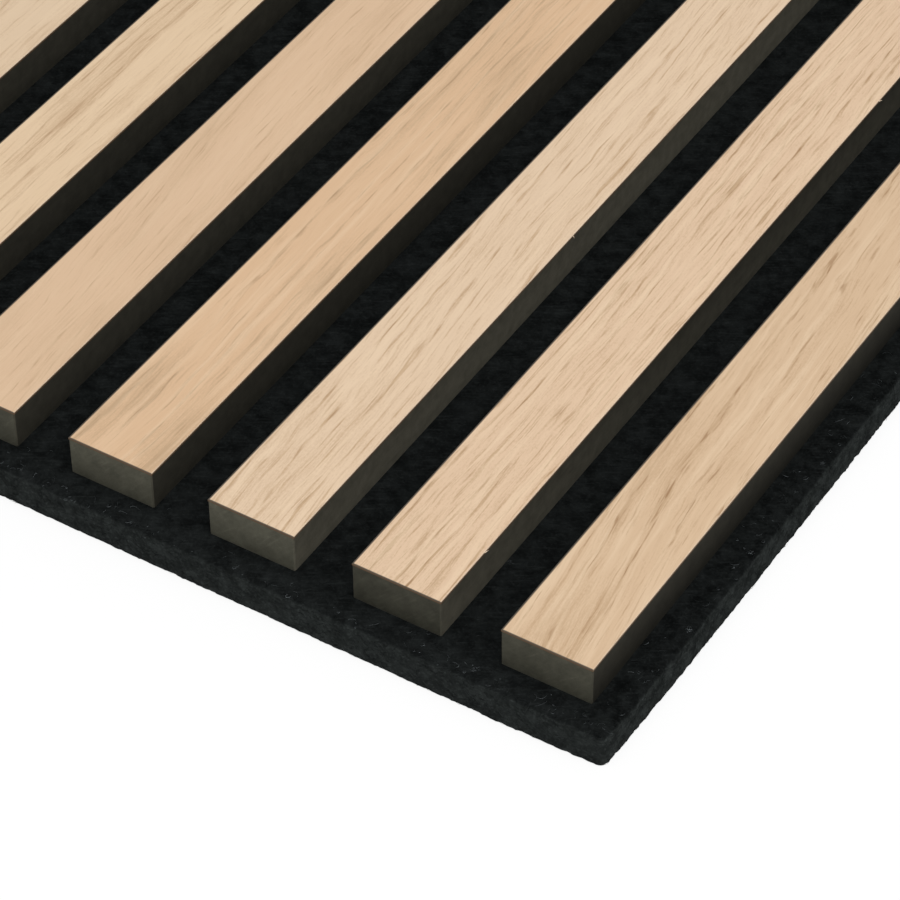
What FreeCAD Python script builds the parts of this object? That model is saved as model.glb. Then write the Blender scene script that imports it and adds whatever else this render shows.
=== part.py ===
"""Square acoustic slat wall panel: oak-faced fibreboard slats stapled onto a felt board.

The panel lies on its back. The origin is the centre of the felt's back face, X runs across
the slats, Y along them and Z out of the wall, through the felt, the cores and the veneer.
"""
import FreeCAD, Part
import os

import Sketcher

# Driving dimensions: alias, millimetres or a count, and what it sets.
DIMENSIONS = [
    ("slat_count", 15, "slats side by side"),
    ("slat_width", 24, "width of a slat"),
    ("slat_gap", 16, "open channel between two slats"),
    ("slat_length", 584, "length of a slat"),
    ("core_height", 10.5, "fibreboard core, from the felt to the veneer"),
    ("core_arris", 0.3, "flat sanded on the upright corners of a core"),
    ("veneer_thickness", 0.6, "oak veneer on the face of a core"),
    ("veneer_arris", 0.15, "flat sanded round the face of the veneer"),
    ("felt_thickness", 9, "felt board"),
    ("side_margin", 8, "felt beyond the outer slats"),
    ("end_margin", 8, "felt beyond the slat ends"),
    ("felt_corner_radius", 4, "plan radius of the felt's corners"),
    ("felt_face_round", 1.2, "soft edge round the felt's slat side"),
    ("felt_back_round", 0.3, "soft edge round the felt's back"),
    ("staples_per_slat", 4, "staples that hold one slat"),
    ("staple_crown", 11.2, "outside width of a staple"),
    ("wire_width", 1.2, "staple wire, along the slat"),
    ("wire_thickness", 0.6, "staple wire, across the slat"),
    ("staple_sink", 0.3, "depth of the crown below the felt's back"),
    ("staple_cover", 3.2, "core left over the points of a staple"),
    ("staple_bevel", 0.9, "length of the chisel cut on a point"),
    ("staple_end_distance", 24, "slat end to the nearest staple"),
]

PITCH = "(dims.slat_width + dims.slat_gap)"
FELT_WIDTH = f"(dims.slat_count * {PITCH} - dims.slat_gap + 2 * dims.side_margin)"
FELT_LENGTH = "(dims.slat_length + 2 * dims.end_margin)"
LEG_HEIGHT = "(dims.felt_thickness + dims.core_height - dims.staple_cover - dims.staple_sink)"
STAPLE_SPAN = "(dims.slat_length - 2 * dims.staple_end_distance)"

ON_PLANE = 1e-6


def make_sheet(doc):
    """Write the driving dimensions into a spreadsheet, one aliased cell each."""
    sheet = doc.addObject("Spreadsheet::Sheet", "dims")
    for row, (alias, value, meaning) in enumerate(DIMENSIONS, start=1):
        sheet.set(f"A{row}", meaning)
        sheet.set(f"B{row}", str(value))
        sheet.setAlias(f"B{row}", alias)
    doc.recompute()
    return sheet


def origin_feature(body, role):
    """Return the plane or axis of a body's own origin that has this role."""
    return next(item for item in body.Origin.OriginFeatures if item.Role == role)


def slat_x(number):
    """Expression for the middle of a slat, counted from 1 at the low X side."""
    return f"({number} - (dims.slat_count + 1) / 2) * {PITCH}"


def outline_sketch(body, name, role, points):
    """Close straight lines through points, each given as a pair of expressions from the origin."""
    sketch = body.newObject("Sketcher::SketchObject", name)
    sketch.AttachmentSupport = (origin_feature(body, role), "")
    sketch.MapMode = "FlatFace"
    # Any start that is roughly the right shape will do: the bound constraints set the sizes.
    sheet = body.Document.getObject("dims")
    start = [FreeCAD.Vector(*[sheet.evalExpression(term) for term in pair], 0) for pair in points]
    for here, there in zip(start, start[1:] + start[:1]):
        sketch.addGeometry(Part.LineSegment(here, there))
    for line in range(len(points)):
        after = (line + 1) % len(points)
        sketch.addConstraint(Sketcher.Constraint("Coincident", line, 2, after, 1))
    for line, pair in enumerate(points):
        for kind, term in zip(("DistanceX", "DistanceY"), pair):
            value = float(sheet.evalExpression(term))
            index = sketch.addConstraint(Sketcher.Constraint(kind, -1, 1, line, 1, value))
            sketch.setExpression(f"Constraints[{index}]", term)
    return sketch


def rectangle(half_width, low, high):
    """Corner expressions of a rectangle that is centred on the sketch's upright axis."""
    return [
        (f"-({half_width})", low),
        (half_width, low),
        (half_width, high),
        (f"-({half_width})", high),
    ]


def pad(body, sketch, length, symmetric):
    """Extrude a sketch by a bound length, to both sides of its plane or to one."""
    feature = body.newObject("PartDesign::Pad", f"{body.Name}_pad")
    feature.Profile = sketch
    feature.SideType = "Symmetric" if symmetric else "One side"
    feature.setExpression("Length", length)
    body.Document.recompute()
    return feature


def edges_where(feature, test):
    """Names of a feature's edges whose bounding box passes the test."""
    return [
        f"Edge{index}"
        for index, edge in enumerate(feature.Shape.Edges, start=1)
        if test(edge.BoundBox)
    ]


def ease(body, kind, base, edges, size):
    """Chamfer or fillet the named edges of a feature by a bound size."""
    feature = body.newObject(f"PartDesign::{kind}", f"{body.Name}_{kind.lower()}")
    feature.Base = (base, edges)
    feature.setExpression("Size" if kind == "Chamfer" else "Radius", size)
    body.Document.recompute()
    return feature


def upright(box):
    """True for an edge that runs straight up."""
    return box.XLength < ON_PLANE and box.YLength < ON_PLANE


def level_with(height):
    """Test for the edges that lie at one height."""
    return lambda box: abs(box.ZMin - height) < ON_PLANE and abs(box.ZMax - height) < ON_PLANE


def make_staples(doc):
    """One U of flat wire under the first slat, repeated along every slat and across the panel."""
    body = doc.addObject("PartDesign::Body", "staples")
    side = "dims.staple_crown / 2"
    inside = "(dims.staple_crown / 2 - dims.wire_thickness)"
    shoulder = f"({LEG_HEIGHT} - dims.staple_bevel)"
    profile = [
        (f"-({side})", "0"),
        (side, "0"),
        (side, LEG_HEIGHT),
        (inside, shoulder),
        (inside, "dims.wire_thickness"),
        (f"-{inside}", "dims.wire_thickness"),
        (f"-{inside}", shoulder),
        (f"-({side})", LEG_HEIGHT),
    ]
    sketch = outline_sketch(body, "staple_profile", "XZ_Plane", profile)
    wire = pad(body, sketch, "dims.wire_width", symmetric=True)

    pattern = body.newObject("PartDesign::LinearPattern", "staple_pattern")
    pattern.Originals = [wire]
    pattern.Direction = (origin_feature(body, "X_Axis"), [""])
    pattern.Mode = "Spacing"
    pattern.setExpression("Offset", PITCH)
    pattern.setExpression("Occurrences", "dims.slat_count")
    pattern.Direction2 = (origin_feature(body, "Y_Axis"), [""])
    pattern.Mode2 = "Extent"
    pattern.setExpression("Length2", STAPLE_SPAN)
    pattern.setExpression("Occurrences2", "dims.staples_per_slat")
    body.Tip = pattern

    body.setExpression("Placement.Base.x", slat_x(1))
    body.setExpression("Placement.Base.y", f"-{STAPLE_SPAN} / 2")
    body.setExpression("Placement.Base.z", "dims.staple_sink")
    return body


def make_felt_blank(doc):
    """The felt board with its soft rims, before the staples have gone through it."""
    body = doc.addObject("PartDesign::Body", "felt_blank")
    outline = rectangle(f"{FELT_WIDTH} / 2", f"-{FELT_LENGTH} / 2", f"{FELT_LENGTH} / 2")
    sketch = outline_sketch(body, "felt_outline", "XY_Plane", outline)
    board = pad(body, sketch, "dims.felt_thickness", symmetric=False)
    board = ease(body, "Fillet", board, edges_where(board, upright), "dims.felt_corner_radius")
    top = board.Shape.BoundBox.ZMax
    board = ease(body, "Fillet", board, edges_where(board, level_with(top)), "dims.felt_face_round")
    ease(body, "Fillet", board, edges_where(board, level_with(0)), "dims.felt_back_round")
    return body


def make_core_blank(doc, number):
    """A fibreboard bar with its upright corners eased, before it is stapled."""
    body = doc.addObject("PartDesign::Body", f"core_blank_{number:02d}")
    profile = rectangle("dims.slat_width / 2", "0", "dims.core_height")
    sketch = outline_sketch(body, f"core_profile_{number:02d}", "XZ_Plane", profile)
    bar = pad(body, sketch, "dims.slat_length", symmetric=True)
    ease(body, "Chamfer", bar, edges_where(bar, upright), "dims.core_arris")
    body.setExpression("Placement.Base.x", slat_x(number))
    body.setExpression("Placement.Base.z", "dims.felt_thickness")
    return body


def make_veneer(doc, number):
    """A strip of oak veneer with a sanded arris round its face, on top of its core."""
    body = doc.addObject("PartDesign::Body", f"slat_veneer_{number:02d}")
    profile = rectangle("dims.slat_width / 2", "0", "dims.veneer_thickness")
    sketch = outline_sketch(body, f"veneer_profile_{number:02d}", "XZ_Plane", profile)
    strip = pad(body, sketch, "dims.slat_length", symmetric=True)
    face_edges = edges_where(strip, level_with(strip.Shape.BoundBox.ZMax))
    ease(body, "Chamfer", strip, face_edges, "dims.veneer_arris")
    body.setExpression("Placement.Base.x", slat_x(number))
    body.setExpression("Placement.Base.z", "dims.felt_thickness + dims.core_height")
    return body


def stapled(doc, name, blank, staples):
    """A blank with the slots that the staples make in it."""
    cut = doc.addObject("Part::Cut", name)
    cut.Base = blank
    cut.Tool = staples
    return cut


def make_panel(doc):
    """Build every piece of the panel and return the finished ones."""
    sheet = make_sheet(doc)
    staples = make_staples(doc)
    pieces = [staples, stapled(doc, "felt_backing", make_felt_blank(doc), staples)]
    for number in range(1, int(sheet.slat_count) + 1):
        pieces.append(stapled(doc, f"slat_core_{number:02d}", make_core_blank(doc, number), staples))
        pieces.append(make_veneer(doc, number))
    doc.recompute()
    return pieces


def check_and_write(doc, pieces):
    """Stop if anything failed to build, then write one STEP file for each piece."""
    failed = [item.Name for item in doc.Objects if {"Invalid", "Error"} & set(item.State)]
    if failed:
        raise RuntimeError(f"failed to recompute: {failed}")
    for piece in pieces:
        if piece.Shape.isNull() or not piece.Shape.isValid():
            raise RuntimeError(f"bad shape: {piece.Label}")
    os.makedirs("parts", exist_ok=True)
    for piece in pieces:
        piece.Shape.exportStep(os.path.join("parts", f"{piece.Label}.step"))


panel = FreeCAD.newDocument("acoustic_slat_panel")
check_and_write(panel, make_panel(panel))
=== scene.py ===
"""Looks of a square acoustic slat wall panel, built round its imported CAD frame.

Oak-veneered fibreboard slats on a black felt board. The panel lies on its back: X runs across
the slats, Y along them and Z up out of the oak faces. Lengths are in metres.
"""
import math
import random
from collections import namedtuple

import bmesh
import bpy
from bpy.props import FloatProperty, FloatVectorProperty, IntProperty, PointerProperty
from mathutils import Matrix, Vector, noise


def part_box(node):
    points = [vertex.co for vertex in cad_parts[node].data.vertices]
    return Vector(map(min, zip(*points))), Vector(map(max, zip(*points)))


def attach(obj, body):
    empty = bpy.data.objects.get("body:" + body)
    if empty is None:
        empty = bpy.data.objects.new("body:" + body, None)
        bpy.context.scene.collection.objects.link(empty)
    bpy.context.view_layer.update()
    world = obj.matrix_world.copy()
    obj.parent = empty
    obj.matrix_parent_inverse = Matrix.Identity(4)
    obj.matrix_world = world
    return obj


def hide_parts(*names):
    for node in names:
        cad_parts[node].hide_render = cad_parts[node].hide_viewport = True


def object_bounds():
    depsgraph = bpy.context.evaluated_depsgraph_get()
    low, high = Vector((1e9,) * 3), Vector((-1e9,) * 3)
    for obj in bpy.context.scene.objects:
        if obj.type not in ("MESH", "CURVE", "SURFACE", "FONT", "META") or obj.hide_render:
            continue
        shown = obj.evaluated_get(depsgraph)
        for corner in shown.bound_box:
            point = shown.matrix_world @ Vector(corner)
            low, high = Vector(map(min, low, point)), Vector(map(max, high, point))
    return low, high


bl_info = {
    "name": "Acoustic Slat Panel",
    "version": (1, 0, 0),
    "blender": (4, 5, 0),
    "location": "3D View > Sidebar > Slat Panel",
    "description": "Dresses an oak slat and felt wall panel and sets its studio",
    "category": "Object",
}

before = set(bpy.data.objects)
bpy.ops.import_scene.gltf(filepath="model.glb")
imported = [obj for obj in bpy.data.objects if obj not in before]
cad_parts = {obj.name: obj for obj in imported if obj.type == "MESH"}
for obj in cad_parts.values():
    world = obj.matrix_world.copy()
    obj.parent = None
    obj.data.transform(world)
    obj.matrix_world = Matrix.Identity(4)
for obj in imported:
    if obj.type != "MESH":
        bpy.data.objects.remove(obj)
CAD_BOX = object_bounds()

MM = 0.001
HALF = CAD_BOX[1][0]
BODY = "root"
SLATS = sorted(name[-2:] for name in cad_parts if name.startswith("slat_core_"))

# Points this close in height lie on one level, and points this close together are one.
LEVEL = 1e-6
WELD = 1e-7


def linear(*channels):
    """A colour written as 0 to 255 screen values, as the linear values that shaders take."""
    return tuple(
        (c / 255 + 0.055) ** 2.4 / 1.055**2.4 if c > 10 else c / 255 / 12.92 for c in channels
    )


# Tones of oak that the strips are cut from, as they look on a screen.
OAK_TONES = {
    "tan": linear(207, 178, 146),
    "blush": linear(217, 188, 158),
    "cream": linear(219, 193, 164),
    "honey": linear(212, 178, 143),
    "rose": linear(213, 182, 150),
    "straw": linear(220, 193, 160),
    "pale": linear(218, 193, 163),
}

# Pale bands between the streaks.
PALE_WOOD = (0.86, 0.68, 0.48, 1.0)

# How one strip of veneer was cut: its tone, how far its grain runs off the strip's own direction, how many
# growth rings it shows per millimetre, how strong its lines, its broad bands and its pores are, and the
# place in the log that it came from, in millimetres.
Leaf = namedtuple("Leaf", "tone slope rings lines bands pores place")
LEAVES = [
    Leaf("straw", -0.03, 0.30, 0.7, 0.6, 0.6, (11, 40)),
    Leaf("cream", 0.02, 0.36, 0.6, 0.3, 0.5, (57, 210)),
    Leaf("honey", -0.05, 0.24, 0.9, 0.8, 0.6, (93, 95)),
    Leaf("pale", 0.00, 0.33, 0.5, 0.9, 0.4, (131, 330)),
    Leaf("tan", 0.06, 0.20, 1.0, 0.7, 0.9, (173, 20)),
    Leaf("blush", -0.02, 0.34, 0.9, 0.3, 0.7, (211, 160)),
    Leaf("rose", -0.04, 0.28, 0.5, 0.4, 0.5, (257, 280)),
    Leaf("cream", 0.03, 0.31, 0.7, 0.4, 0.6, (293, 75)),
    Leaf("pale", -0.01, 0.25, 0.60, 1.0, 0.3, (129.6, 494.3)),
    Leaf("straw", 0.00, 0.28, 0.70, 0.75, 0.5, (306.6, 461.0)),
    Leaf("rose", 0.07, 0.28, 0.40, 0.5, 0.5, (517.5, 884.3)),
    Leaf("honey", 0.01, 0.26, 0.90, 1.3, 0.5, (66.6, 1150.0)),
    Leaf("cream", 0.05, 0.31, 0.92, 0.35, 0.7, (-154.8, 886.7)),
    Leaf("blush", 0.01, 0.33, 1.25, 0.2, 0.8, (572.9, 980.7)),
    Leaf("tan", 0.09, 0.19, 1.20, 1.1, 1.0, (569.2, 1115.0)),
]

# How each fibreboard bar took its dye, from low X to high X: on its long sides and on its sawn ends; then the
# painted shade
# on its sides: how much paler they get from the felt up to the veneer, and how much darker away from the
# ends.
Bar = namedtuple("Bar", "side end rise fade", defaults=[0.0])
BARS = [
    Bar(0.037, 0.078, 0.10),
    Bar(0.029, 0.071, 0.00),
    Bar(0.061, 0.089, -0.30, 0.20),
    Bar(0.031, 0.075, 0.10),
    Bar(0.045, 0.082, 0.20),
    Bar(0.027, 0.067, 0.00),
    Bar(0.053, 0.078, -0.20, 0.10),
    Bar(0.029, 0.073, 0.10),
    Bar(0.031, 0.075, 0.00),
    Bar(0.025, 0.078, 0.00),
    Bar(0.029, 0.074, 0.10),
    Bar(0.0235, 0.085, 0.10, 0.14),
    Bar(0.071, 0.092, -0.42),
    Bar(0.062, 0.055, -0.42, 0.36),
    Bar(0.018, 0.071, 0.75, 0.12),
]

# Clumps of fibre on the felt's edge: how large next to the usual one, and how high.
CLUMPS = [(4.0, 0.5), (1.0, 1.0), (0.4, 0.8)]

# The way the felt's fibres lie, as a direction on its face.
FELT_RUN = (0.84, 0.54)

# Loose fibres: the shortest and the longest, and how far they rise from the felt, in millimetres.
Fibres = namedtuple("Fibres", "length lift")
EDGE_FIBRES = Fibres((0.7, 3.2), (0.05, 0.45))
FACE_FIBRES = Fibres((1.0, 6.0), (0.05, 0.35))
TUFT_CURLS = Fibres((0.6, 1.0), (0.10, 0.40))
SINGLE_CURLS = Fibres((0.6, 3.2), (0.10, 0.40))

# Tufts of lint on the felt, in millimetres, how many curls one has and how far they scatter.
TUFTS = [(252.5, -263.2), (263.9, -296.6), (299.3, -231.5), (299.3, -196.3), (299.3, -260.7)]
CURLS_PER_TUFT = 16
CURL_SCATTER = 0.4

# How high a curl lies at each step along it, as a share of its lift.
CURL_LIFTS = (0.6, 1.0, 0.8, 0.9, 0.5, 0.1)

# Splinters on the right edge of a veneer: its number, the place along it in millimetres and a direction.
SPLINTERS = [
    ("13", -166.7, (0.8, -0.6, 0.0)),
    ("14", -78.9, (0.5, 0.9, 0.0)),
    ("14", -272.5, (0.3, 0.9, 0.0)),
]
SPLINTER_SHAPE = {"segments": 5, "radius1": 0.2 * MM, "radius2": 0.03 * MM, "depth": 1.3 * MM}

# The studio: square lamps, the floor's half width, its gap below the panel and the camera's sensor in
# millimetres.
Lamp = namedtuple("Lamp", "place target size")
KEY = Lamp((0.5, -0.62, 1.95), (0.1, -0.1, 0.0), 1.6)
FILL = Lamp((1.6, -0.4, 1.2), (0.0, 0.0, 0.0), 1.0)
FLOOR_REACH = 6.0
FLOOR_GAP = 0.05 * MM
SENSOR = 36.0
WHITE = (1.0, 1.0, 1.0, 1.0)


# Node trees

class Graph:
    """Adds nodes to a tree. Every value is a number, a tuple or another node's output."""

    def __init__(self, tree):
        self.tree = tree

    def feed(self, socket, value):
        """Links an output to an input, or sets the input's own value."""
        if isinstance(value, bpy.types.NodeSocket):
            self.tree.links.new(value, socket)
        else:
            socket.default_value = value

    def add(self, kind, inputs=(), **settings):
        """Adds a node, with its settings and its inputs by name or number."""
        item = self.tree.nodes.new(kind)
        for name, value in settings.items():
            setattr(item, name, value)
        for name, value in dict(inputs).items():
            self.feed(item.inputs[name], value)
        return item

    def math(self, operation, *values):
        """One arithmetic step."""
        return self.add("ShaderNodeMath", enumerate(values), operation=operation).outputs[0]

    def total(self, first, *others):
        """The sum of several values."""
        for other in others:
            first = self.math("ADD", first, other)
        return first

    def times(self, first, *others):
        """The product of several values."""
        for other in others:
            first = self.math("MULTIPLY", first, other)
        return first

    def step(self, value, low, high, start=0.0, end=1.0):
        """A soft step from start to end as the value goes from low to high."""
        item = self.add("ShaderNodeMapRange", enumerate((value, low, high, start, end)),
                        interpolation_type="SMOOTHSTEP")
        return item.outputs[0]

    def parts(self, vector):
        """The three parts of a vector."""
        return self.add("ShaderNodeSeparateXYZ", {0: vector}).outputs

    def vector(self, *values):
        """A vector from its parts."""
        return self.add("ShaderNodeCombineXYZ", enumerate(values)).outputs[0]

    def noise(self, vector, scale=1.0, detail=2.0, roughness=0.5, dimensions="3D"):
        """Smooth noise about 0.5."""
        inputs = {"Vector": vector, "Scale": scale, "Detail": detail, "Roughness": roughness}
        return self.add("ShaderNodeTexNoise", inputs, noise_dimensions=dimensions).outputs[0]

    def grain(self, across, along, per_across, per_along, **options):
        """Noise drawn out along the grain, with its features counted per millimetre."""
        vector = self.vector(self.times(across, per_across), self.times(along, per_along), 0.0)
        return self.noise(vector, dimensions="2D", **options)

    def swing(self, *place, **options):
        """Drawn-out noise about zero."""
        return self.math("SUBTRACT", self.grain(*place, **options), 0.5)

    def beyond(self, value, middle, half):
        """How far a value lies outside a half width to either side of a middle."""
        return self.math("SUBTRACT", self.math("ABSOLUTE", self.math("SUBTRACT", value, middle)), half)

    def mix(self, factor, first, second, blend="MIX"):
        """One colour over another."""
        item = self.add("ShaderNodeMix", data_type="RGBA", blend_type=blend)
        for socket, value in zip((item.inputs[0], item.inputs[6], item.inputs[7]), (factor, first, second)):
            self.feed(socket, value)
        return item.outputs[2]

    def bump(self, height, depth, strength=1.0):
        """A normal from a height between 0 and 1 and its depth in metres."""
        item = self.add("ShaderNodeBump", {"Height": height, "Distance": depth, "Strength": strength})
        return item.outputs[0]


SOCKETS = {"number": "NodeSocketFloat", "colour": "NodeSocketColor", "vector": "NodeSocketVector"}


def node_group(name, inputs, outputs):
    """An empty shader group with named sockets, and its graph, input node and output node."""
    tree = bpy.data.node_groups.new(name, "ShaderNodeTree")
    for label, kind in inputs.items():
        tree.interface.new_socket(label, in_out="INPUT", socket_type=SOCKETS[kind])
    for label, kind in outputs.items():
        tree.interface.new_socket(label, in_out="OUTPUT", socket_type=SOCKETS[kind])
    graph = Graph(tree)
    return tree, graph, graph.add("NodeGroupInput").outputs, graph.add("NodeGroupOutput").inputs


def use_group(graph, tree, inputs):
    """Places a group in a material and returns its outputs."""
    item = graph.add("ShaderNodeGroup", node_tree=tree)
    for name, value in inputs.items():
        graph.feed(item.inputs[name], value)
    return item.outputs


def new_material(name):
    """A node material with its graph, its shader's inputs and the piece's own coordinates."""
    material = bpy.data.materials.new(name)
    material.use_nodes = True
    graph = Graph(material.node_tree)
    shader = material.node_tree.nodes["Principled BSDF"]
    place = graph.add("ShaderNodeTexCoord").outputs["Object"]
    return material, graph, shader.inputs, place


def facing(graph):
    """The direction that the surface faces."""
    return graph.add("ShaderNodeNewGeometry").outputs["Normal"]


def opaque(colour):
    """A colour with full alpha."""
    return (*colour, 1.0)


def set_inputs(graph, inputs, **values):
    """Sets shader inputs by their names, with underscores for spaces."""
    for name, value in values.items():
        graph.feed(inputs[name.replace("_", " ")], value)


# Finishes

def oak_figure():
    """The figure of flat-cut oak: wandering streaks, fine grain, dark pores and pale bands."""
    tree, graph, given, result = node_group(
        "Oak figure",
        {"Vector": "vector", "Place": "vector", "Slope": "number", "Rings": "number", "Lines": "number",
         "Bands": "number", "Pores": "number", "Wood": "colour", "Streak": "colour", "Pore": "colour"},
        {"Color": "colour", "Roughness": "number", "Height": "number"},
    )
    scaled = graph.add("ShaderNodeVectorMath", {0: given["Vector"], 3: 1 / MM}, operation="SCALE")
    moved = graph.add("ShaderNodeVectorMath", {0: scaled.outputs[0], 1: given["Place"]}, operation="ADD")
    x, y, _ = graph.parts(moved.outputs[0])

    # The grain leaves the strip's direction by a slope, by a slow and a quicker wander and by a ripple.
    slow = graph.swing(x, y, 0.030, 0.006, detail=1.0)
    quick = graph.swing(x, y, 0.14, 0.030, detail=1.0)
    ripple = graph.swing(x, y, 0.30, 0.085, detail=1.0)
    across = graph.total(x, graph.times(given["Slope"], y), graph.times(slow, 9.0), graph.times(quick, 1.5),
                         graph.times(ripple, 0.8))

    # Growth rings meet the face as dark lines a few millimetres apart, broken along their length.
    cloud = graph.swing(x, y, 0.06, 0.020)
    band = graph.swing(across, y, 0.13, 0.004)
    count = graph.total(graph.times(across, given["Rings"]), graph.times(band, 2.2))
    ring = graph.step(graph.math("PINGPONG", count, 0.5), 0.30, 0.48)
    broken = graph.step(graph.grain(across, y, 0.80, 0.028), 0.40, 0.62)
    stroke = graph.step(graph.grain(across, y, 0.75, 0.085, detail=1.0), 0.38, 0.60, 0.30, 1.0)
    line = graph.times(ring, broken, stroke)
    thread = graph.times(graph.step(graph.grain(across, y, 1.30, 0.042, detail=1.5), 0.54, 0.68), stroke)
    fine = graph.swing(across, y, 2.8, 0.150, roughness=0.6)
    dash = graph.step(graph.grain(across, y, 1.9, 0.130, detail=1.0), 0.52, 0.66)
    pale = graph.step(graph.grain(across, y, 0.50, 0.016, detail=2.0), 0.40, 0.78)
    grit = graph.swing(x, y, 3.0, 1.300, detail=1.0)

    shade = graph.total(graph.times(line, 0.82), graph.times(thread, 0.46), graph.times(fine, 1.05),
                        graph.times(grit, 0.75), graph.times(ring, 0.08))
    broad = graph.times(graph.total(band, cloud), given["Bands"], 1.5)
    shade = graph.total(graph.times(shade, given["Lines"]), broad)
    wood = graph.mix(graph.math("MAXIMUM", shade, 0.0), given["Wood"], given["Streak"])
    wood = graph.mix(graph.times(pale, given["Lines"], 0.24), wood, PALE_WOOD)
    porous = graph.total(graph.times(line, 0.60), graph.times(thread, 0.27), 0.07)
    pores = graph.times(dash, porous, given["Pores"])
    graph.feed(result["Color"], graph.mix(pores, wood, given["Pore"]))
    graph.feed(result["Roughness"], graph.total(graph.times(pores, 0.2), graph.times(fine, 0.10), 0.55))
    graph.feed(result["Height"], graph.math("SUBTRACT", graph.times(fine, 0.4), pores))
    return tree


def oak_material(number, leaf, figure, settings):
    """Matt-lacquered veneer: one strip's own figure on its face, darker wood round its cut edge, a painted
    highlight on its arris and a dark rim that is partly dye and partly painted shade.
    """
    material, graph, shader, place = new_material(f"oak_veneer_{number}")
    outputs = use_group(graph, figure, {
        "Vector": place,
        "Place": (*leaf.place, 0.0),
        "Slope": leaf.slope,
        "Rings": leaf.rings,
        "Lines": leaf.lines,
        "Bands": leaf.bands,
        "Pores": leaf.pores,
        "Wood": opaque(OAK_TONES[leaf.tone]),
        "Streak": opaque(settings.streak),
        "Pore": opaque(settings.pore),
    })
    upward = graph.parts(facing(graph))[2]
    cut = graph.step(upward, 0.25, 0.55, 1.0, 0.0)
    # Painted highlight: where the face rounds over into its arris, it is mixed towards a pale colour.
    arris_highlight = graph.step(upward, 0.80, 0.98, 0.45, 0.0)
    face = graph.mix(arris_highlight, outputs["Color"], opaque(settings.arris_highlight))

    # A dark rim round the face: partly the dye of the core over the worn edge, partly painted shade of the
    # eased edge, which reaches further in on the low X side.
    low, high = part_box(f"slat_veneer_{number}")
    middle, half = (low + high) / 2, (high - low) / 2
    x, y, _ = graph.parts(place)
    aside = graph.beyond(x, middle.x + settings.dark_rim_shift, half.x)
    ahead = graph.beyond(y, middle.y, half.y)
    rim = graph.math("MAXIMUM", aside, ahead)
    dyed_and_shaded_rim = graph.step(rim, -settings.dark_rim_reach, -0.3 * settings.dark_rim_reach, 0.0, 0.92)
    face = graph.mix(dyed_and_shaded_rim, face, opaque(settings.dyed_and_shaded_rim))
    set_inputs(
        graph, shader,
        Base_Color=graph.mix(cut, face, opaque(settings.cut_edge)),
        Roughness=outputs["Roughness"],
        Normal=graph.bump(outputs["Height"], settings.pore_depth, 0.5),
        Specular_IOR_Level=0.25,
    )
    return material


def fibreboard_grain():
    """Dyed fibreboard: pressed fibres on its sides and blotchy saw texture on its ends."""
    tree, graph, given, result = node_group(
        "Fibreboard",
        {"Vector": "vector", "Normal": "vector", "Side": "number", "End": "number", "Rise": "number",
         "Fade": "number", "Side tint": "colour", "End tint": "colour"},
        {"Color": "colour", "Roughness": "number", "Height": "number"},
    )
    x, y, z = graph.parts(given["Vector"])
    sideways, lengthways, _ = graph.parts(given["Normal"])
    ending = graph.step(graph.math("ABSOLUTE", lengthways), 0.5, 0.9)
    # Painted highlight: the vertical arrises between the sides and the ends are lightened.
    corner = graph.math("ABSOLUTE", graph.times(sideways, lengthways))
    arris_highlight = graph.step(corner, 0.25, 0.45, 1.0, 1.1)
    low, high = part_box(f"slat_core_{SLATS[0]}")
    up = graph.times(graph.math("SUBTRACT", z, (low.z + high.z) / 2), 1 / (high.z - low.z))
    mottle = graph.noise(given["Vector"], scale=320.0, detail=3.0, roughness=0.6)
    speck = graph.noise(given["Vector"], scale=2600.0, detail=2.0, roughness=0.6)
    pressed = graph.noise(graph.vector(x, graph.times(y, 0.08), z), scale=1500.0, detail=2.0)
    slant = graph.vector(graph.times(graph.total(x, z), 0.15), y, graph.math("SUBTRACT", z, x))
    sawn = graph.noise(slant, scale=900.0, detail=2.0)
    scuff = graph.times(graph.step(sawn, 0.58, 0.74), ending, 0.14)
    fibres = graph.mix(ending, pressed, sawn)

    # Painted shade on the sides: paler or darker with height, and on some bars darker away from the ends.
    inner = graph.step(graph.math("ABSOLUTE", y), HALF - 130 * MM, HALF - 20 * MM, -1.0, 0.0)
    painted_side_shade = graph.total(1.0, graph.times(given["Rise"], up), graph.times(given["Fade"], inner))
    side = graph.times(given["Side"], painted_side_shade)
    # Painted shade: the ends darken towards the felt.
    end = graph.times(given["End"], graph.total(1.0, graph.times(up, 0.15)))
    dye = graph.total(graph.times(graph.math("SUBTRACT", end, side), ending), side)
    texture = graph.total(0.30, graph.times(mottle, 0.8), graph.times(speck, 0.35),
                          graph.times(fibres, 0.25), scuff)
    tone = graph.times(dye, texture, arris_highlight)
    tint = graph.mix(ending, given["Side tint"], given["End tint"])
    graph.feed(result["Color"], graph.mix(1.0, tint, graph.vector(tone, tone, tone), "MULTIPLY"))
    graph.feed(result["Roughness"], graph.total(0.75, graph.times(speck, 0.2)))
    graph.feed(result["Height"], graph.total(graph.times(fibres, 0.7), graph.times(speck, 0.5)))
    return tree


def core_material(number, bar, grain, settings):
    """One bar's fibreboard, with the dye of its sides and of its ends."""
    material, graph, shader, place = new_material(f"fibreboard_{number}")
    outputs = use_group(graph, grain, {
        "Vector": place,
        "Normal": facing(graph),
        "Side": bar.side,
        "End": bar.end,
        "Rise": bar.rise,
        "Fade": bar.fade,
        "Side tint": opaque(settings.side_tint),
        "End tint": opaque(settings.end_tint),
    })
    set_inputs(
        graph, shader,
        Base_Color=outputs["Color"],
        Roughness=outputs["Roughness"],
        Normal=graph.bump(outputs["Height"], settings.relief, 0.6),
        Specular_IOR_Level=0.08,
    )
    return material


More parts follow.
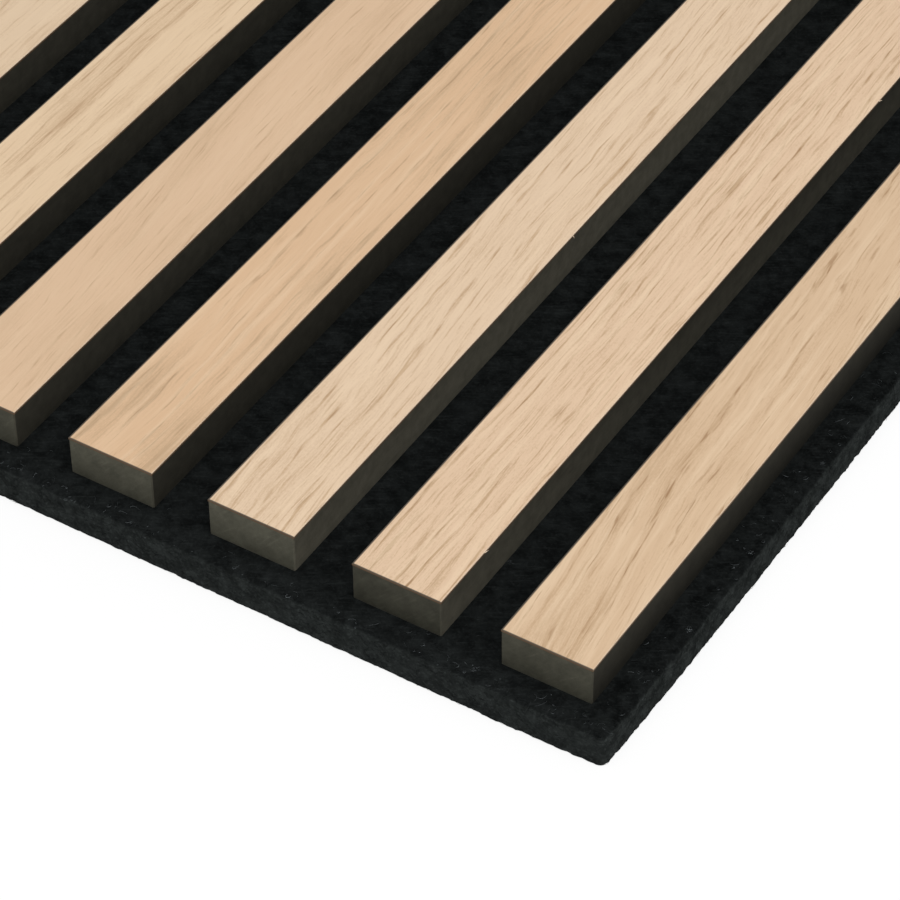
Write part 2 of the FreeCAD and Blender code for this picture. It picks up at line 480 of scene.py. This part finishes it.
def felt_material(settings):
    """Needled felt: matted fibres, blue-black on the face and greyer on the cut edge."""
    material, graph, shader, place = new_material("black_felt")
    upward = graph.parts(facing(graph))[2]
    edge = graph.step(upward, 0.25, 0.85, 1.0, 0.0)
    x, y, z = graph.parts(place)
    clump = graph.noise(place, scale=260.0, detail=3.0, roughness=0.6)
    mat = graph.noise(place, scale=1400.0, detail=3.0, roughness=0.65)
    run_x, run_y = FELT_RUN
    turned = graph.total(graph.times(x, run_x), graph.times(y, run_y))
    crossed = graph.total(graph.times(x, -run_y), graph.times(y, run_x))
    wisp = graph.noise(graph.vector(graph.times(turned, 0.12), crossed, z), scale=1700.0, detail=2.0)
    light = graph.total(graph.times(graph.step(clump, 0.3, 0.75), 0.5),
                        graph.times(graph.step(wisp, 0.5, 0.8), 0.4),
                        graph.times(graph.step(mat, 0.45, 0.8), 0.5))
    colour = graph.mix(edge, opaque(settings.face), opaque(settings.edge))

    # Painted shade: the face darkens from the end margins inwards towards the feet of the slats,
    # and a painted shadow keeps the face of the side margins darker.
    painted_shade_inward = graph.step(graph.math("ABSOLUTE", y), HALF - 8 * MM, HALF - 1 * MM, 0.39, 0.48)
    # Painted shadow on the face of the side margins, kept off the cut edge.
    painted_margin_shadow = graph.step(graph.math("ABSOLUTE", x), HALF - 9 * MM, HALF - 5 * MM, 0.0, -0.12)
    painted_margin_shadow = graph.times(painted_margin_shadow, graph.math("SUBTRACT", 1.0, edge))
    lit = graph.total(painted_shade_inward, painted_margin_shadow, graph.times(light, 1.1))
    height = graph.total(graph.times(clump, 0.8), graph.times(mat, 0.5), graph.times(wisp, 0.4))
    set_inputs(
        graph, shader,
        Base_Color=graph.mix(1.0, colour, graph.vector(lit, lit, lit), "MULTIPLY"),
        Roughness=graph.total(0.82, graph.times(mat, 0.16)),
        Normal=graph.bump(height, settings.nap, 0.9),
        Specular_IOR_Level=0.0,
    )
    return material


def fibre_material(name, colour):
    """Loose polyester fibre, paler in patches."""
    material, graph, shader, place = new_material(name)
    patch = graph.step(graph.noise(place, scale=110.0, detail=2.0, roughness=0.6), 0.45, 0.75)
    dark = tuple(c * 0.3 for c in colour)
    set_inputs(
        graph, shader,
        Base_Color=graph.mix(patch, opaque(dark), opaque(colour)),
        Roughness=graph.total(0.7, graph.times(patch, 0.2)),
        Specular_IOR_Level=0.0,
    )
    return material


def steel_material(settings):
    """Galvanised flat wire, dulled and lightly scratched along its length."""
    material, graph, shader, place = new_material("staple_wire")
    x, y, z = graph.parts(place)
    drawn = graph.noise(graph.vector(graph.times(x, 0.1), y, z), scale=9000.0, detail=2.0)
    dull = graph.noise(place, scale=900.0, detail=2.0)
    set_inputs(
        graph, shader,
        Base_Color=graph.mix(dull, opaque(settings.zinc), opaque(c * 0.7 for c in settings.zinc)),
        Metallic=1.0,
        Roughness=graph.total(0.28, graph.times(drawn, 0.25)),
        Normal=graph.bump(drawn, settings.scratch, 0.4),
    )
    return material


# Pieces

def paint(name, material):
    """Gives a CAD node one finish."""
    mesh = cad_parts[name].data
    mesh.materials.clear()
    mesh.materials.append(material)


def add_piece(name, mesh, material):
    """Links a finished mesh as a piece of the panel."""
    piece = bpy.data.objects.new(name, mesh)
    bpy.context.scene.collection.objects.link(piece)
    mesh.materials.append(material)
    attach(piece, BODY)
    return piece


def finish_mesh(bm, name):
    """Turns a bmesh into a mesh."""
    mesh = bpy.data.meshes.new(name)
    bm.to_mesh(mesh)
    bm.free()
    return mesh


def felt_mesh(settings):
    """The felt board with soft rims, finely divided and roughened round its edge."""
    low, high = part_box("felt_backing")
    size = high - low
    bm = bmesh.new()
    bmesh.ops.create_cube(bm, size=1.0, matrix=Matrix.LocRotScale((low + high) / 2, None, size))

    def bevel(edges, offset, segments):
        bmesh.ops.bevel(bm, geom=edges, offset=offset, offset_type="OFFSET", affect="EDGES",
                        segments=segments, profile=0.5, material=-1, clamp_overlap=True)

    def face_towards(sign):
        return max(bm.faces, key=lambda face: sign * face.calc_center_median().z)

    def run(edge):
        return edge.verts[1].co - edge.verts[0].co

    bevel([e for e in bm.edges if abs(run(e).z) > size.z / 2], settings.corner_radius, segments=6)
    bevel(list(face_towards(1).edges), settings.face_round, segments=4)
    bevel(list(face_towards(-1).edges), settings.back_round, segments=2)

    # Flat loops go inwards to squares. The innermost stay whole, and a narrow ring takes up the division.
    bmesh.ops.delete(bm, geom=[face_towards(1), face_towards(-1)], context="FACES_ONLY")
    reach = high.x - settings.face_round - settings.margin
    ring = 1.5 * MM
    step_in(bm, high.z, reach)
    whole = {*step_in(bm, high.z, reach - ring), *step_in(bm, low.z, reach)}
    bmesh.ops.holes_fill(bm, edges=list(whole))

    def divide(wanted, cuts):
        edges = [e for e in bm.edges if e not in whole and wanted(e)]
        bmesh.ops.subdivide_edges(bm, edges=edges, cuts=cuts, use_grid_fill=True)

    def crosses_margin(edge):
        return min(v.co.z for v in edge.verts) > high.z - LEVEL and run(edge).length > settings.margin / 2

    divide(lambda e: run(e).length > size.x / 2, cuts=round(size.x / settings.pitch))
    divide(lambda e: abs(run(e).z) > size.z / 2, cuts=8)
    divide(crosses_margin, cuts=4)
    bmesh.ops.recalc_face_normals(bm, faces=bm.faces)
    for face in bm.faces:
        face.smooth = whole.isdisjoint(face.edges)
    roughen(bm, settings, high)
    for v in bm.verts:
        spread(v.co, settings, high)
    return finish_mesh(bm, "felt_board")


def open_loop(bm, height):
    """The edges at a height that have only one face."""
    return [e for e in bm.edges if e.is_boundary and abs(e.verts[0].co.z - height) < LEVEL]


def step_in(bm, height, reach):
    """Carries the open loop at a height inwards to a square, and returns the square's edges."""
    grown = bmesh.ops.extrude_edge_only(bm, edges=open_loop(bm, height))["geom"]
    points = [item for item in grown if isinstance(item, bmesh.types.BMVert)]
    for point in points:
        point.co.x = min(max(point.co.x, -reach), reach)
        point.co.y = min(max(point.co.y, -reach), reach)
    bmesh.ops.remove_doubles(bm, verts=points, dist=WELD)
    return open_loop(bm, height)


def roughen(bm, settings, high):
    """Moves the board's points in and out as its matted fibres do, round the edge only."""
    inner = high.x - settings.face_round - settings.margin
    ramp = 3 * MM
    moves = {}
    for v in bm.verts:
        fade = min(1.0, max(0.0, max(abs(v.co.x), abs(v.co.y)) - inner) / ramp)
        lumps = sum(share * noise.noise(v.co / (settings.lump * ratio)) for ratio, share in CLUMPS)
        outward = Vector(v.normal)
        if v.co.z < settings.back_round:
            outward.z = 0.0
            outward.normalize()
        moves[v] = outward * settings.roughness * fade * lumps
    for v, move in moves.items():
        v.co += move


def spread(point, settings, high):
    """Moves a point of the cut board out to where its soft edges stand, less towards the corners."""
    from_side = max(0.0, 1 - math.exp((abs(point.x) - high.x) / settings.end_taper))
    from_end = max(0.0, 1 - math.exp((abs(point.y) - high.y) / settings.side_taper))
    point.x *= 1 + settings.spread * from_end / high.x
    point.y *= 1 + settings.lean * from_side * (1 - point.z / high.z) / high.y


def strands_mesh(name, strands, width):
    """A mesh of narrow ribbons, one along each list of points."""
    curve = bpy.data.curves.new(name, "CURVE")
    curve.dimensions = "3D"
    curve.extrude = width / 2
    for points in strands:
        spline = curve.splines.new("POLY")
        spline.points.add(len(points) - 1)
        for point, place in zip(spline.points, points):
            point.co = (*place, 1.0)
    carrier = bpy.data.objects.new(name, curve)
    mesh = bpy.data.meshes.new_from_object(carrier)
    bpy.data.objects.remove(carrier)
    bpy.data.curves.remove(curve)
    return mesh


def bent_strand(chance, middle, run, outward, length, lift):
    """Four points of a slack fibre: it lies along a direction and bows out of the surface."""
    side = outward.cross(run)
    angle = chance.gauss(0.0, 0.7)
    along = run * math.cos(angle) + side * math.sin(angle)
    aside = outward.cross(along) * chance.uniform(-0.3, 0.3) * length
    points = []
    for share in (-0.5, -0.17, 0.17, 0.5):
        bow = 1 - (2 * share) ** 2
        rise = outward * lift * bow * chance.uniform(0.5, 1)
        points.append(middle + along * share * length + aside * bow + rise)
    return points


def outline_length(half, radius):
    """Length of the felt's rounded outline."""
    return 8 * (half - radius) + 2 * math.pi * radius


def outline_point(distance, half, radius):
    """A point of the felt's rounded outline, that far along it, with its outward direction."""
    reach = half - radius
    quarter = 2 * reach + radius * math.pi / 2
    turn = Matrix.Rotation(distance // quarter * math.pi / 2, 3, "Z")
    rest = distance % quarter
    angle = max(0.0, rest - 2 * reach) / radius
    outward = Vector((math.cos(angle), math.sin(angle), 0))
    place = Vector((reach, min(rest, 2 * reach) - reach, 0)) + outward * radius
    return turn @ place, turn @ outward


def edge_strands(settings, chance):
    """Fibres that stand a little off the felt's cut edge and its soft rim, all the way round."""
    _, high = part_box("felt_backing")
    half, soft = high.x, settings.face_round
    around = outline_length(half, settings.corner_radius)
    up = Vector((0, 0, 1))

    # The lowest root on the cut edge, how deep a root sits and how far a fibre stays off the floor.
    lowest, depth, clearance = 0.4 * MM, 0.05 * MM, 0.1 * MM
    strands = []
    for _ in range(settings.edge_fibres):
        place, outward = outline_point(chance.uniform(0, around), half, settings.corner_radius)
        run = up.cross(outward)
        tilt = max(0.0, chance.uniform(-2.2, 1.0)) * math.pi / 2
        slant = outward * math.cos(tilt) + up * math.sin(tilt)
        height = high.z - soft if tilt else chance.uniform(lowest, high.z - soft)
        middle = place - outward * soft + up * height + slant * (soft - depth)
        length = chance.uniform(*EDGE_FIBRES.length) * MM
        points = bent_strand(chance, middle, run, slant, length, chance.uniform(*EDGE_FIBRES.lift) * MM)
        for point in points:
            point.z = max(point.z, clearance)
            spread(point, settings, high)
        strands.append(points)
    return strands


def slat_boxes():
    """The box of every fibreboard bar."""
    return [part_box(f"slat_core_{number}") for number in SLATS]


def clear_of(boxes, points):
    """True if none of the points is above or below one of the boxes."""
    return not any(a.x < p.x < b.x and a.y < p.y < b.y for p in points for a, b in boxes)


def face_strands(settings, chance):
    """Fibres that lie on the felt in the channels and on the margins."""
    low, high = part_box("felt_backing")
    boxes = slat_boxes()
    edge = settings.face_round
    strands = []
    while len(strands) < settings.face_fibres:
        x = chance.uniform(low.x + edge, high.x - edge)
        y = chance.uniform(low.y + edge, high.y - edge)
        length = chance.uniform(*FACE_FIBRES.length) * MM
        heading = math.radians(chance.gauss(25, 10))
        run = Vector((math.cos(heading), math.sin(heading), 0))
        points = bent_strand(chance, Vector((x, y, high.z)), run, Vector((0, 0, 1)), length,
                             chance.uniform(*FACE_FIBRES.lift) * MM)
        if clear_of(boxes, points):
            strands.append(points)
    return strands


def curly_strand(chance, start, length, lift):
    """Points of a curly fibre that wanders over a level surface."""
    heading = chance.uniform(0, 2 * math.pi)
    turn = chance.gauss(0.0, 0.65)
    points = [start]
    for share in CURL_LIFTS:
        heading += turn + chance.gauss(0.0, 0.25)
        stride = Vector((math.cos(heading), math.sin(heading), 0)) * length / len(CURL_LIFTS)
        point = points[-1] + stride
        point.z = start.z + lift * share
        points.append(point)
    return points


def lint_strands(settings, chance):
    """Pale curls on the face: tufts, and single ones that thin out from the rim inwards."""
    _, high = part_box("felt_backing")
    around = outline_length(high.x, settings.corner_radius)
    spots = [(Vector((x, y, 0)) * MM, TUFT_CURLS) for x, y in TUFTS for _ in range(CURLS_PER_TUFT)]
    while len(spots) < settings.curls:
        place, outward = outline_point(chance.uniform(0, around), high.x, settings.corner_radius)
        inwards = abs(chance.gauss(0.0, chance.choice((0.2, 1.0)) * settings.curl_reach))
        spots.append((place - outward * inwards, SINGLE_CURLS))
    boxes = slat_boxes()
    strands = []
    for spot, curls in spots:
        spot += Vector((chance.gauss(0.0, CURL_SCATTER), chance.gauss(0.0, CURL_SCATTER), 0)) * MM
        drop = settings.face_round - min(high.x - abs(spot.x), high.y - abs(spot.y))
        spot.z = high.z - max(0.0, drop) ** 2 / (2 * settings.face_round)
        length = chance.uniform(*curls.length) * MM
        points = curly_strand(chance, spot, length, chance.uniform(*curls.lift) * MM)
        reach = max(max(abs(point.x), abs(point.y)) for point in points)
        if clear_of(boxes, points) and reach < high.x + settings.spread:
            strands.append(points)
    return strands


def splinters_mesh():
    """Slivers of oak that stand off the edge of a veneer."""
    bm = bmesh.new()
    for number, along, direction in SPLINTERS:
        _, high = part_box(f"slat_veneer_{number}")
        place = Vector((high.x + 0.1 * MM, along * MM, high.z - 0.25 * MM))
        turn = Vector(direction).to_track_quat("Z", "Y")
        matrix = Matrix.LocRotScale(place, turn, None)
        bmesh.ops.create_cone(bm, cap_ends=True, matrix=matrix, **SPLINTER_SHAPE)
    return finish_mesh(bm, "veneer_splinters")


def splinter_material(settings):
    """Raw oak of a torn edge."""
    material, graph, shader, place = new_material("oak_splinter")
    shade = graph.noise(place, scale=3000.0)
    # The splinters take the pale colour of the painted arris highlight as their raw oak.
    set_inputs(graph, shader, Base_Color=graph.mix(shade, opaque(settings.arris_highlight), opaque(settings.streak)),
               Roughness=0.7, Specular_IOR_Level=0.2)
    return material


def set_camera(settings):
    """The photograph's view of the near right corner."""
    low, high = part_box(f"slat_veneer_{SLATS[-1]}")
    corner = Vector((high.x, low.y, high.z))
    target = corner + Vector(settings.target)
    a, e, r = settings.azimuth, settings.elevation, settings.roll
    back = Vector((math.sin(a) * math.cos(e), -math.cos(a) * math.cos(e), math.sin(e)))
    right = Vector((math.cos(a), math.sin(a), 0))
    turn = Matrix((right, back.cross(right), back)).transposed() @ Matrix.Rotation(r, 3, "Z")
    data = bpy.data.cameras.new("camera")
    data.lens = settings.lens
    data.sensor_width = SENSOR
    camera = bpy.data.objects.new("camera", data)
    camera.matrix_world = Matrix.Translation(target + back * settings.distance) @ turn.to_4x4()
    bpy.context.scene.collection.objects.link(camera)
    bpy.context.scene.camera = camera


def area_light(name, lamp, power):
    """A soft square lamp that faces a point."""
    data = bpy.data.lights.new(name, "AREA")
    data.size = lamp.size
    data.energy = power
    light = bpy.data.objects.new(name, data)
    place = Vector(lamp.place)
    turn = (Vector(lamp.target) - place).to_track_quat("-Z", "Y")
    light.matrix_world = Matrix.LocRotScale(place, turn, None)
    bpy.context.scene.collection.objects.link(light)


def seen_directly(graph):
    """1 for what the camera sees, also in a reflection or through glass, and 0 for light on the part."""
    path = graph.add("ShaderNodeLightPath").outputs
    shown = graph.math("MAXIMUM", path["Is Camera Ray"], path["Is Glossy Ray"])
    return graph.math("MAXIMUM", shown, path["Is Transmission Ray"])


def floor_material(settings):
    """White floor that shows white to the camera and keeps a soft shadow."""
    material, graph, shader, _ = new_material("white_floor")
    seen = seen_directly(graph)
    colour = graph.mix(seen, opaque(settings.floor), WHITE)
    set_inputs(graph, shader, Base_Color=colour, Roughness=0.9, Specular_IOR_Level=0.0)
    glow = graph.add("ShaderNodeEmission", {0: WHITE, 1: 1.0}).outputs[0]
    share = graph.times(seen, settings.white_share)
    principled = material.node_tree.nodes["Principled BSDF"].outputs[0]
    mixed = graph.add("ShaderNodeMixShader", {0: share, 1: principled, 2: glow}).outputs[0]
    graph.feed(material.node_tree.nodes["Material Output"].inputs[0], mixed)
    return material


def set_world(settings):
    """Even studio light from all round, white where the camera sees it."""
    world = bpy.data.worlds.new("studio")
    world.use_nodes = True
    graph = Graph(world.node_tree)
    shade = world.node_tree.nodes["Background"].inputs
    graph.feed(shade["Color"], WHITE)
    strength = graph.step(seen_directly(graph), 0.0, 1.0, settings.ambient, 1.0)
    graph.feed(shade["Strength"], strength)
    bpy.context.scene.world = world


# Settings

class SlatPanelOak(bpy.types.PropertyGroup):
    """Oak veneer"""

    # Colour of the dark rim round the face: dye of the core, and painted shade of the eased edge.
    dyed_and_shaded_rim: FloatVectorProperty(
        name="Dyed rim", description="Oak that took up the dye of the core", subtype="COLOR",
        default=(0.030, 0.027, 0.022))
    # How far the dark rim of dye and painted shade reaches in over the face.
    dark_rim_reach: FloatProperty(
        name="Creep", description="Reach of the core's dye over the edge of the face", subtype="DISTANCE",
        default=0.38 * MM)
    # How much further the painted shade of the eased edge reaches in on the low X side.
    dark_rim_shift: FloatProperty(
        name="Creep shift", description="How much further the dye comes in on the low X side",
        subtype="DISTANCE", default=0.19 * MM)
    streak: FloatVectorProperty(
        name="Streak", description="Dark bands of the oak", subtype="COLOR", default=linear(188, 158, 125))
    pore: FloatVectorProperty(
        name="Pore", description="Open pores of the oak", subtype="COLOR", default=linear(152, 118, 84))
    cut_edge: FloatVectorProperty(
        name="Cut edge", description="Edge of the veneer", subtype="COLOR", default=linear(92, 70, 48))
    # Pale colour of the painted highlight on the veneer's arris.
    arris_highlight: FloatVectorProperty(
        name="Arris", description="Worn corner of the veneer", subtype="COLOR", default=linear(238, 218, 198))
    pore_depth: FloatProperty(
        name="Pore depth", description="Depth of the pores", subtype="DISTANCE", default=0.06 * MM)


class SlatPanelCore(bpy.types.PropertyGroup):
    """Dyed fibreboard"""

    side_tint: FloatVectorProperty(
        name="Side tint", description="Hue of the dye on the long sides", subtype="COLOR",
        default=(1.0, 0.93, 0.71))
    end_tint: FloatVectorProperty(
        name="End tint", description="Hue of the dye on the ends", subtype="COLOR", default=(1.0, 0.97, 0.73))
    relief: FloatProperty(
        name="Relief", description="Depth of the fibres on the surface", subtype="DISTANCE",
        default=0.06 * MM)


class SlatPanelFelt(bpy.types.PropertyGroup):
    """Felt board"""

    face: FloatVectorProperty(
        name="Face", description="Felt on its face", subtype="COLOR", default=(0.0122, 0.0138, 0.0137))
    edge: FloatVectorProperty(
        name="Edge", description="Felt on its cut edge", subtype="COLOR", default=(0.0276, 0.0312, 0.0302))
    fibre: FloatVectorProperty(
        name="Fibre", description="Loose fibres", subtype="COLOR", default=(0.040, 0.045, 0.045))
    nap: FloatProperty(
        name="Nap", description="Depth of the matted surface", subtype="DISTANCE", default=0.35 * MM)
    margin: FloatProperty(
        name="Margin", description="Roughened strip of the face", subtype="DISTANCE", default=4.5 * MM)
    corner_radius: FloatProperty(
        name="Corner radius", description="Plan radius of a corner", subtype="DISTANCE", default=2.0 * MM)
    face_round: FloatProperty(
        name="Face round", description="Soft edge round the face", subtype="DISTANCE", default=1.2 * MM)
    back_round: FloatProperty(
        name="Back round", description="Soft edge round the back", subtype="DISTANCE", default=0.3 * MM)
    spread: FloatProperty(
        name="Spread", description="How far the side edges stand out", subtype="DISTANCE", default=0.77 * MM)
    lean: FloatProperty(
        name="Lean", description="How far the end edges stand out at the back", subtype="DISTANCE",
        default=0.65 * MM)
    side_taper: FloatProperty(
        name="Side taper", description="How soon a side edge draws in to a corner", subtype="DISTANCE",
        default=20.0 * MM)
    end_taper: FloatProperty(
        name="End taper", description="How soon an end edge draws in to a corner", subtype="DISTANCE",
        default=6.5 * MM)
    pitch: FloatProperty(
        name="Pitch", description="Spacing of the points round the edge", subtype="DISTANCE",
        default=0.75 * MM)
    lump: FloatProperty(
        name="Lump", description="Size of the clumps of fibre", subtype="DISTANCE", default=1.6 * MM)
    roughness: FloatProperty(
        name="Roughness", description="Height of the clumps", subtype="DISTANCE", default=0.20 * MM)
    edge_fibres: IntProperty(
        name="Edge fibres", description="Loose fibres round the edge", default=16000)
    face_fibres: IntProperty(
        name="Face fibres", description="Loose fibres on the face", default=9000)
    curls: IntProperty(
        name="Curls", description="Pale curls of lint", default=1600)
    curl_reach: FloatProperty(
        name="Curl reach", description="How far in from the rim the curls lie", subtype="DISTANCE",
        default=9.0 * MM)
    lint: FloatVectorProperty(
        name="Lint", description="Pale curls of lint", subtype="COLOR", default=(0.26, 0.29, 0.30))
    fibre_width: FloatProperty(
        name="Fibre width", description="Width of a loose fibre", subtype="DISTANCE", default=0.08 * MM)
    seed: IntProperty(name="Seed", description="Lay of the loose fibres", default=7)


class SlatPanelStaples(bpy.types.PropertyGroup):
    """Staples"""

    zinc: FloatVectorProperty(
        name="Zinc", description="Galvanised wire", subtype="COLOR", default=(0.60, 0.60, 0.58))
    scratch: FloatProperty(
        name="Scratch", description="Depth of the marks along the wire", subtype="DISTANCE",
        default=0.02 * MM)


class SlatPanelStage(bpy.types.PropertyGroup):
    """Studio"""

    floor: FloatVectorProperty(
        name="Floor", description="Floor colour", subtype="COLOR", default=(0.85, 0.85, 0.85))
    white_share: FloatProperty(
        name="White share", description="How far the floor shows as plain white", subtype="FACTOR",
        default=0.82)
    ambient: FloatProperty(
        name="Ambient", description="Light from all round", default=0.42)
    key_power: FloatProperty(
        name="Key", description="Power of the main lamp", unit="POWER", default=20.55)
    fill_power: FloatProperty(
        name="Fill", description="Power of the side lamp", unit="POWER", default=12.5)
    azimuth: FloatProperty(
        name="Azimuth", description="Camera, round the panel", subtype="ANGLE", default=math.radians(32.597))
    elevation: FloatProperty(
        name="Elevation", description="Camera, above the floor", subtype="ANGLE",
        default=math.radians(43.528))
    roll: FloatProperty(
        name="Roll", description="Camera, about its own line", subtype="ANGLE", default=math.radians(-0.704))
    distance: FloatProperty(
        name="Distance", description="Camera to the point it faces", subtype="DISTANCE", default=939.17 * MM)
    lens: FloatProperty(
        name="Lens", description="Focal length in millimetres", default=159.76)
    target: FloatVectorProperty(
        name="Target", description="Point that the camera faces, from the near right corner of the slats",
        subtype="TRANSLATION", default=(-64.84 * MM, 43.53 * MM, 0.0))


class SlatPanelSettings(bpy.types.PropertyGroup):
    """All settings of the panel"""

    oak: PointerProperty(type=SlatPanelOak)
    core: PointerProperty(type=SlatPanelCore)
    felt: PointerProperty(type=SlatPanelFelt)
    staples: PointerProperty(type=SlatPanelStaples)
    stage: PointerProperty(type=SlatPanelStage)


# Operators

class SLATPANEL_OT_veneers(bpy.types.Operator):
    """Finish every veneer strip with its own leaf of oak"""

    bl_idname = "slat_panel.veneers"
    bl_label = "Finish Oak Veneers"

    def execute(self, context):
        settings = context.scene.slat_panel.oak
        figure = oak_figure()
        for number, leaf in zip(SLATS, LEAVES, strict=True):
            paint(f"slat_veneer_{number}", oak_material(number, leaf, figure, settings))
        add_piece("veneer_splinters", splinters_mesh(), splinter_material(settings))
        return {"FINISHED"}


class SLATPANEL_OT_cores(bpy.types.Operator):
    """Finish every fibreboard bar"""

    bl_idname = "slat_panel.cores"
    bl_label = "Finish Fibreboard Cores"

    def execute(self, context):
        settings = context.scene.slat_panel.core
        grain = fibreboard_grain()
        for number, bar in zip(SLATS, BARS, strict=True):
            paint(f"slat_core_{number}", core_material(number, bar, grain, settings))
        return {"FINISHED"}


class SLATPANEL_OT_felt(bpy.types.Operator):
    """Make the felt board and its loose fibres"""

    bl_idname = "slat_panel.felt"
    bl_label = "Make Felt Board"

    def execute(self, context):
        settings = context.scene.slat_panel.felt
        board = add_piece("felt_board", felt_mesh(settings), felt_material(settings))
        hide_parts("felt_backing")
        fibre = fibre_material("felt_fibre", settings.fibre)
        lint = fibre_material("felt_lint", settings.lint)
        chance = random.Random(settings.seed)
        for name, strands, material in (("felt_edge_fuzz", edge_strands(settings, chance), fibre),
                                        ("felt_face_fibres", face_strands(settings, chance), fibre),
                                        ("felt_lint", lint_strands(settings, chance), lint)):
            add_piece(name, strands_mesh(name, strands, settings.fibre_width), material)
        return {"FINISHED"}


class SLATPANEL_OT_staples(bpy.types.Operator):
    """Finish the staples in the back"""

    bl_idname = "slat_panel.staples"
    bl_label = "Finish Staples"

    def execute(self, context):
        paint("staples", steel_material(context.scene.slat_panel.staples))
        return {"FINISHED"}


class SLATPANEL_OT_stage(bpy.types.Operator):
    """Set the floor, the lamps and the camera"""

    bl_idname = "slat_panel.stage"
    bl_label = "Set Studio"

    def execute(self, context):
        settings = context.scene.slat_panel.stage
        bm = bmesh.new()
        bmesh.ops.create_grid(bm, x_segments=1, y_segments=1, size=FLOOR_REACH)
        bmesh.ops.translate(bm, verts=bm.verts, vec=(0, 0, -FLOOR_GAP))
        mesh = finish_mesh(bm, "floor")
        mesh.materials.append(floor_material(settings))
        floor = bpy.data.objects.new("floor", mesh)
        context.scene.collection.objects.link(floor)
        set_world(settings)
        area_light("key", KEY, settings.key_power)
        area_light("fill", FILL, settings.fill_power)
        set_camera(settings)
        context.scene.view_settings.view_transform = "Standard"
        return {"FINISHED"}


class SLATPANEL_PT_sidebar(bpy.types.Panel):
    """Lists the steps that dress the panel"""

    bl_idname = "SLATPANEL_PT_sidebar"
    bl_label = "Slat Panel"
    bl_space_type = "VIEW_3D"
    bl_region_type = "UI"
    bl_category = "Slat Panel"

    def draw(self, context):
        for operator in OPERATORS:
            self.layout.operator(operator.bl_idname)


GROUPS = (SlatPanelOak, SlatPanelCore, SlatPanelFelt, SlatPanelStaples, SlatPanelStage, SlatPanelSettings)
OPERATORS = (SLATPANEL_OT_veneers, SLATPANEL_OT_cores, SLATPANEL_OT_felt, SLATPANEL_OT_staples,
             SLATPANEL_OT_stage)
CLASSES = (*GROUPS, *OPERATORS, SLATPANEL_PT_sidebar)


def register():
    """Makes the settings, the operators and the sidebar known to Blender."""
    for item in CLASSES:
        bpy.utils.register_class(item)
    bpy.types.Scene.slat_panel = PointerProperty(type=SlatPanelSettings)


def unregister():
    """Takes them out again."""
    del bpy.types.Scene.slat_panel
    for item in reversed(CLASSES):
        bpy.utils.unregister_class(item)


def main():
    """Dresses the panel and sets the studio."""
    register()
    bpy.ops.slat_panel.veneers()
    bpy.ops.slat_panel.cores()
    bpy.ops.slat_panel.felt()
    bpy.ops.slat_panel.staples()
    bpy.ops.slat_panel.stage()


if __name__ == "__main__":
    main()
